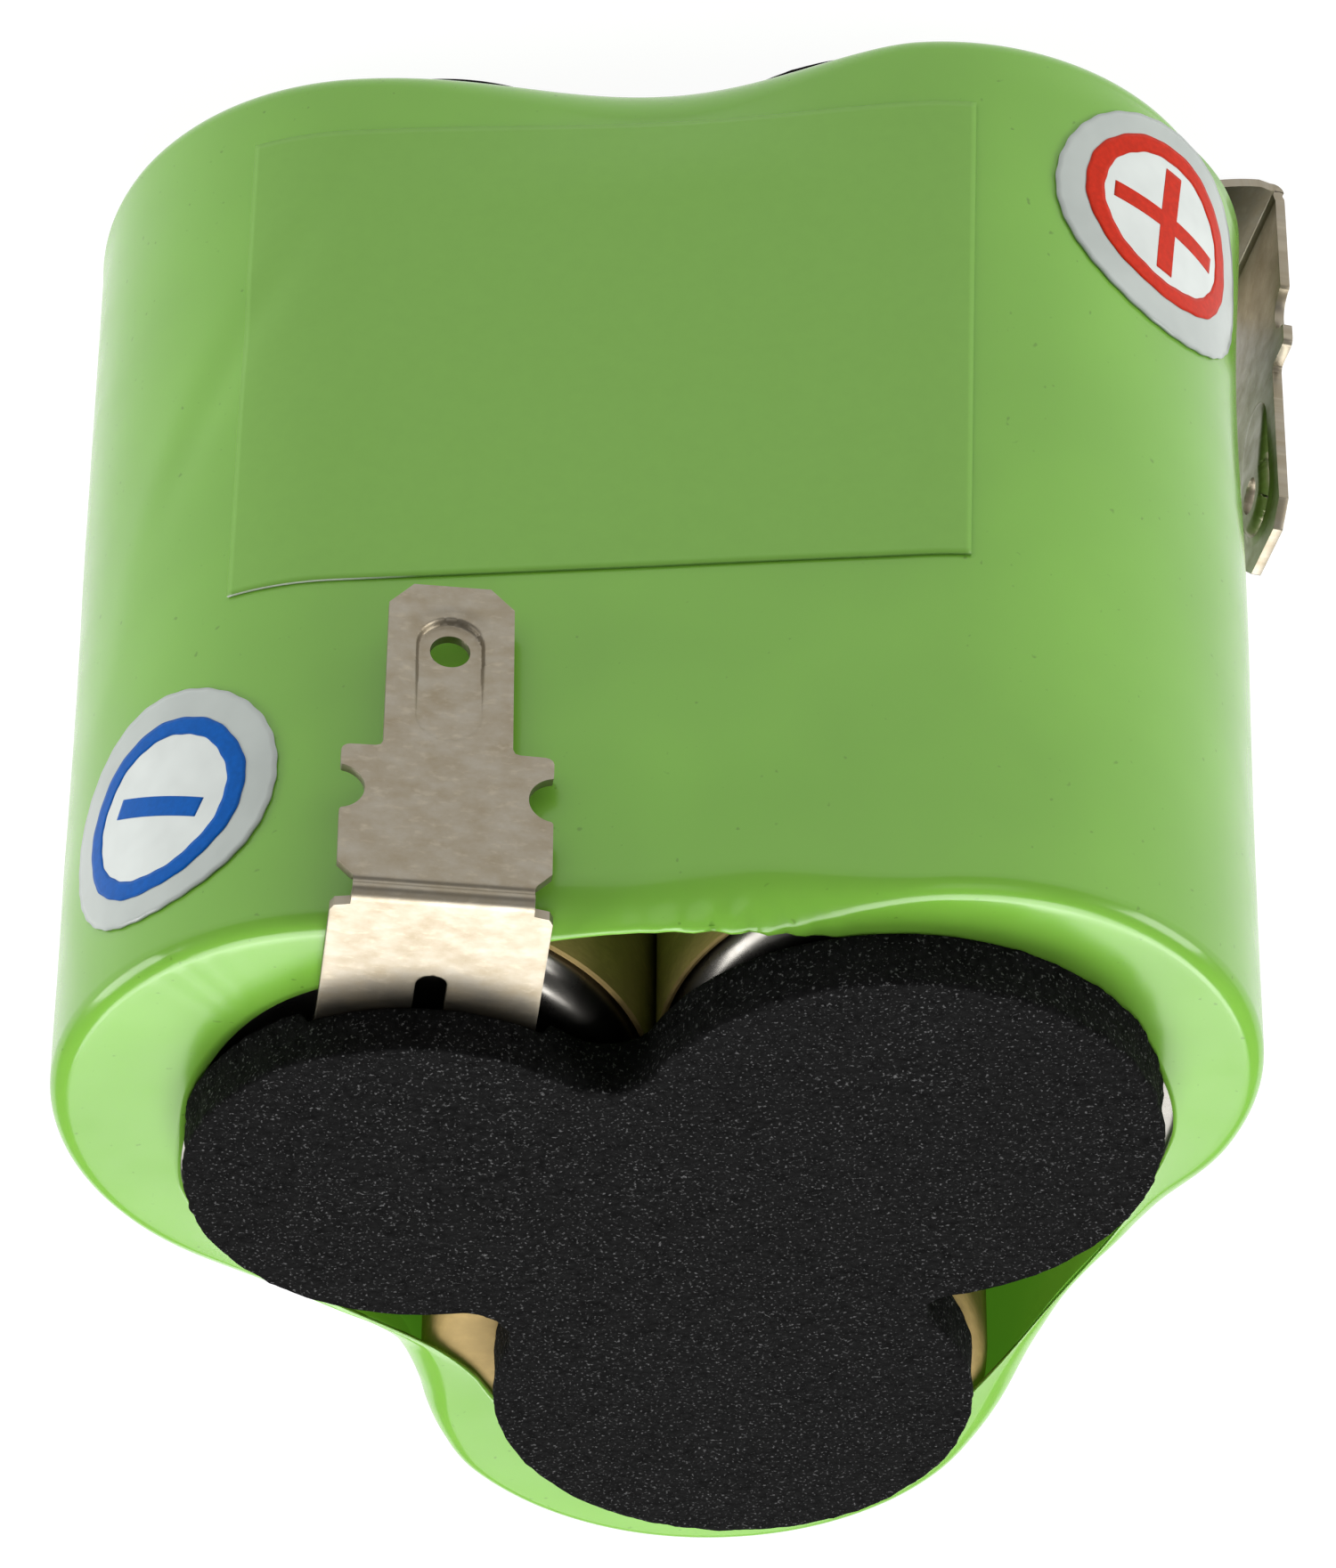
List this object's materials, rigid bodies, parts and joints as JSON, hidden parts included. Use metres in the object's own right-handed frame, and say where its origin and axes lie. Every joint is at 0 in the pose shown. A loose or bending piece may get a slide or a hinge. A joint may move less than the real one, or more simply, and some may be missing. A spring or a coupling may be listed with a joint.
{
  "type": "battery pack",
  "caption": "Triangular pack of cylindrical rechargeable cells in a green shrink sleeve, with foam end pads and two stamped blade tabs.",
  "frame": {"origin": "centre line of the three cells, at the outer face of the bottom foam pad, on which the pack stands", "axes": "+Z runs along the cells towards the end with the negative tab; -Y is the flat front with the label; +X is towards the cell that carries the negative tab"},
  "size_m": [0.0487, 0.0453, 0.0481],
  "materials": {
    "sleeve_green": "glossy green shrink film",
    "label_green": "plain satin green label film",
    "sticker_white": "gloss silver-white sticker film",
    "foam_black": "fine-celled black foam, matt",
    "nickel": "satin nickel-plated strip",
    "can_steel": "nickel-plated drawn steel",
    "kraft_paper": "brown kraft board, matt",
    "fibre_white": "off-white insulating fibre",
    "seal_nylon": "natural nylon",
    "vent_rubber": "black rubber",
    "separator_cloth": "white non-woven cloth",
    "negative_alloy": "dark grey pasted metal-hydride powder on a carrier strip",
    "positive_nickel_oxide": "dark green-grey nickel hydroxide paste in nickel foam"
  },
  "bodies": {
    "pack": {"shrink_sleeve": "sleeve_green", "label": "label_green", "minus_sticker": "sticker_white", "plus_sticker": "sticker_white", "top_foam_pad": "foam_black", "bottom_foam_pad": "foam_black", "negative_tab": "nickel", "positive_tab": "nickel", "top_link": "nickel", "bottom_link": "nickel", "cell_1_can": "can_steel", "cell_1_paper_tube": "kraft_paper", "cell_1_negative_collector": "nickel", "cell_1_negative_electrode": "negative_alloy", "cell_1_separator": "separator_cloth", "cell_1_positive_electrode": "positive_nickel_oxide", "cell_1_positive_collector": "nickel", "cell_1_collector_lead": "nickel", "cell_1_top_insulator": "fibre_white", "cell_1_gasket": "seal_nylon", "cell_1_lid": "can_steel", "cell_1_positive_cap": "can_steel", "cell_1_cap_washer": "fibre_white", "cell_2_can": "can_steel", "cell_2_paper_tube": "kraft_paper", "cell_2_negative_collector": "nickel", "cell_2_negative_electrode": "negative_alloy", "cell_2_separator": "separator_cloth", "cell_2_positive_electrode": "positive_nickel_oxide", "cell_2_positive_collector": "nickel", "cell_2_collector_lead": "nickel", "cell_2_top_insulator": "fibre_white", "cell_2_gasket": "seal_nylon", "cell_2_lid": "can_steel", "cell_2_positive_cap": "can_steel", "cell_2_cap_washer": "fibre_white", "cell_3_can": "can_steel", "cell_3_paper_tube": "kraft_paper", "cell_3_negative_collector": "nickel", "cell_3_negative_electrode": "negative_alloy", "cell_3_separator": "separator_cloth", "cell_3_positive_electrode": "positive_nickel_oxide", "cell_3_positive_collector": "nickel", "cell_3_collector_lead": "nickel", "cell_3_top_insulator": "fibre_white", "cell_3_gasket": "seal_nylon", "cell_3_lid": "can_steel", "cell_3_positive_cap": "can_steel", "cell_3_cap_washer": "fibre_white"},
    "vent_plug_1": {"cell_1_vent_plug": "vent_rubber"},
    "vent_plug_2": {"cell_2_vent_plug": "vent_rubber"},
    "vent_plug_3": {"cell_3_vent_plug": "vent_rubber"}
  },
  "joints": [
    {"name": "vent_1_lift", "type": "slide", "parent": "pack", "child": "vent_plug_1", "axis": [0, 0, -1], "range_m": [0, 0.0003], "stiffness_N_per_m": 500},
    {"name": "vent_2_lift", "type": "slide", "parent": "pack", "child": "vent_plug_2", "axis": [0, 0, 1], "range_m": [0, 0.0003], "stiffness_N_per_m": 500},
    {"name": "vent_3_lift", "type": "slide", "parent": "pack", "child": "vent_plug_3", "axis": [0, 0, -1], "range_m": [0, 0.0003], "stiffness_N_per_m": 500}
  ]
}
